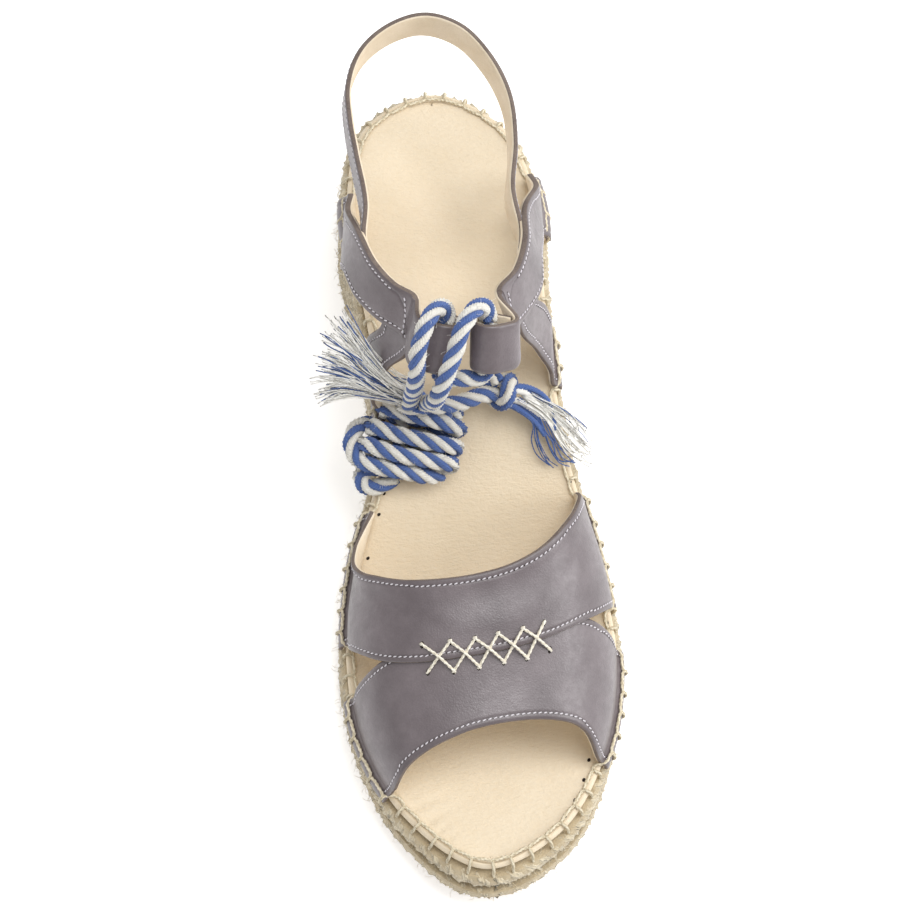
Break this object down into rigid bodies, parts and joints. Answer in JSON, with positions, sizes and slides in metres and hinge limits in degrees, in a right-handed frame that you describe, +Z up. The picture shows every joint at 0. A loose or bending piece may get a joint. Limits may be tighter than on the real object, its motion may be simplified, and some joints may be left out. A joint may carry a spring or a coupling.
{
  "type": "espadrille sandal",
  "caption": "Left wedge espadrille sandal with crossed vamp bands, a heel strap and a rope lace wound through two leather tunnels.",
  "frame": {"origin": "on the floor under the flat of the outsole, half way along the footbed", "axes": "toe towards -Y, heel towards +Y, little toe towards +X, big toe towards -X, +Z up from the floor"},
  "size_m": [0.097, 0.2631, 0.122],
  "materials": {
    "rubber": "matte",
    "jute": "coarse braid",
    "footbed_leather": "smooth matte",
    "upper_leather": "soft sheen",
    "rope": "twisted cotton"
  },
  "bodies": {
    "root": {"outsole": "rubber", "jute_wedge": "jute", "jute_top_row": "jute", "footbed": "footbed_leather", "vamp": "upper_leather", "rear_upper": "upper_leather", "lace_bar": "rope", "lace_loop_inner": "rope", "lace_loop_outer": "rope", "lace_tail": "rope", "lace_hank": "rope", "lace_knot": "rope", "lace_end_inner": "rope", "lace_end_outer": "rope"}
  },
  "joints": []
}
